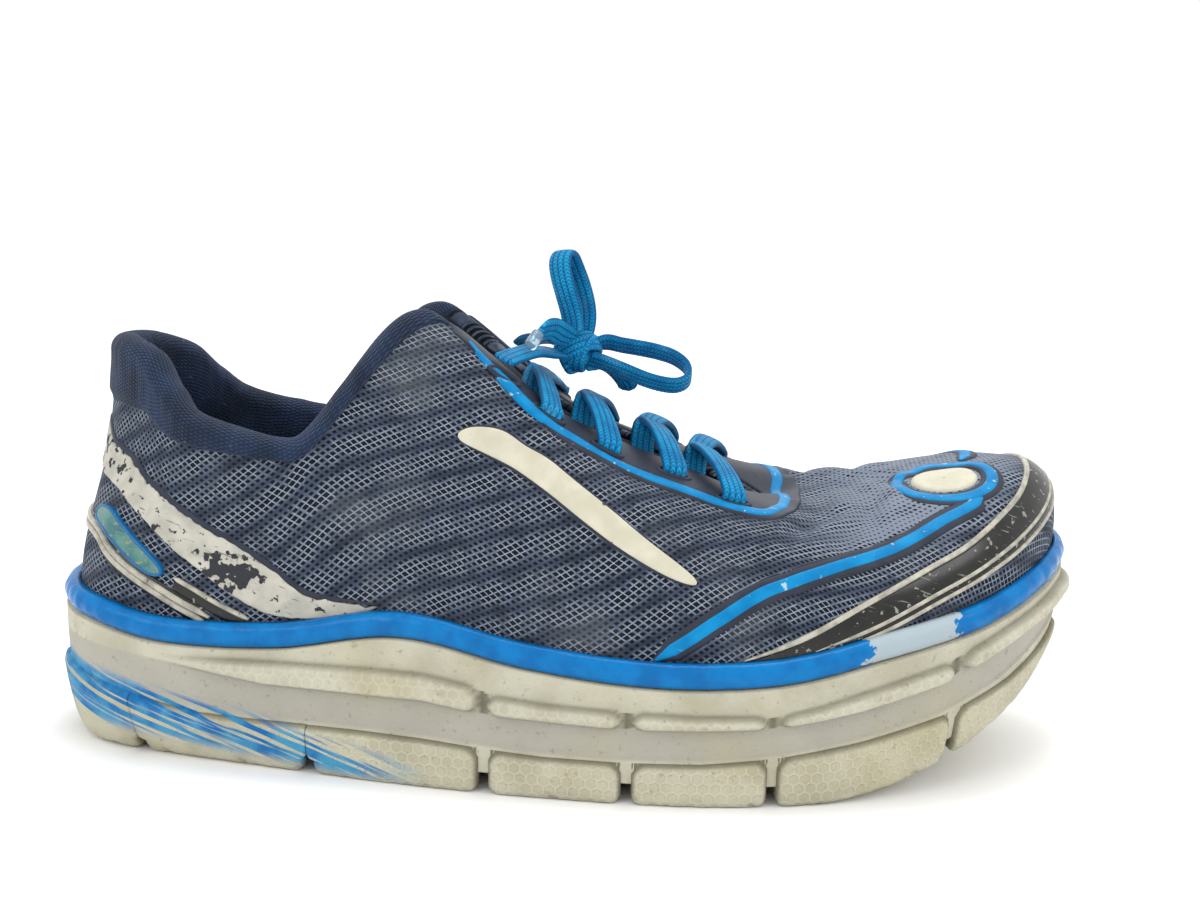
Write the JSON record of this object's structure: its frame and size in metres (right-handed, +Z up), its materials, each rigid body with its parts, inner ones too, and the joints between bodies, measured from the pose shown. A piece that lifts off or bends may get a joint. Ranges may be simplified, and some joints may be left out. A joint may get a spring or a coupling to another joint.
{
  "type": "worn out running shoe",
  "caption": "Worn low running shoe for the right foot: hollow laced mesh upper on a thick level foam sole, standing empty and unbent.",
  "frame": {"origin": "on the floor, under the middle of the shoe's box without the free lace", "axes": "+X to the toe, +Y to the inner (medial) side of the foot, +Z up from the floor it stands on"},
  "size_m": [0.2904, 0.105, 0.142],
  "materials": {
    "foam": "moulded foam, dirty cream, matt",
    "rubber": "moulded rubber, scuffed, matt",
    "rand": "moulded, bright blue, scuffed gloss",
    "mesh": "engineered mesh, grey and navy",
    "lining": "brushed knit, dark navy",
    "sockliner": "knit on foam, dark grey",
    "lace": "flat woven, bright blue",
    "overlay": "thin heat-bonded film, dark grey, scuffed",
    "piping": "printed and welded film, cream, worn",
    "clear": "clear shrunk plastic"
  },
  "bodies": {
    "root": {"midsole": "foam", "lateral_lug_1": "rubber", "medial_lug_1": "rubber", "lateral_lug_2": "rubber", "medial_lug_2": "rubber", "lateral_lug_3": "rubber", "medial_lug_3": "rubber", "lateral_lug_4": "rubber", "medial_lug_4": "rubber", "lateral_lug_5": "rubber", "medial_lug_5": "rubber", "lateral_lug_6": "rubber", "medial_lug_6": "rubber", "lateral_lug_7": "rubber", "medial_lug_7": "rubber", "rand": "rand", "upper": "mesh", "tongue": "lining", "insole": "sockliner", "lace_crossing_1": "lace", "lace_crossing_2": "lace", "lace_crossing_3": "lace", "lace_crossing_4": "lace", "lace_knot": "lace", "lace_lead_lateral": "lace", "lace_lead_medial": "lace", "lace_loop_up": "lace", "lace_loop_front": "lace", "lace_end_lateral": "lace", "lace_end_medial": "lace", "aglet": "clear"}
  },
  "joints": []
}
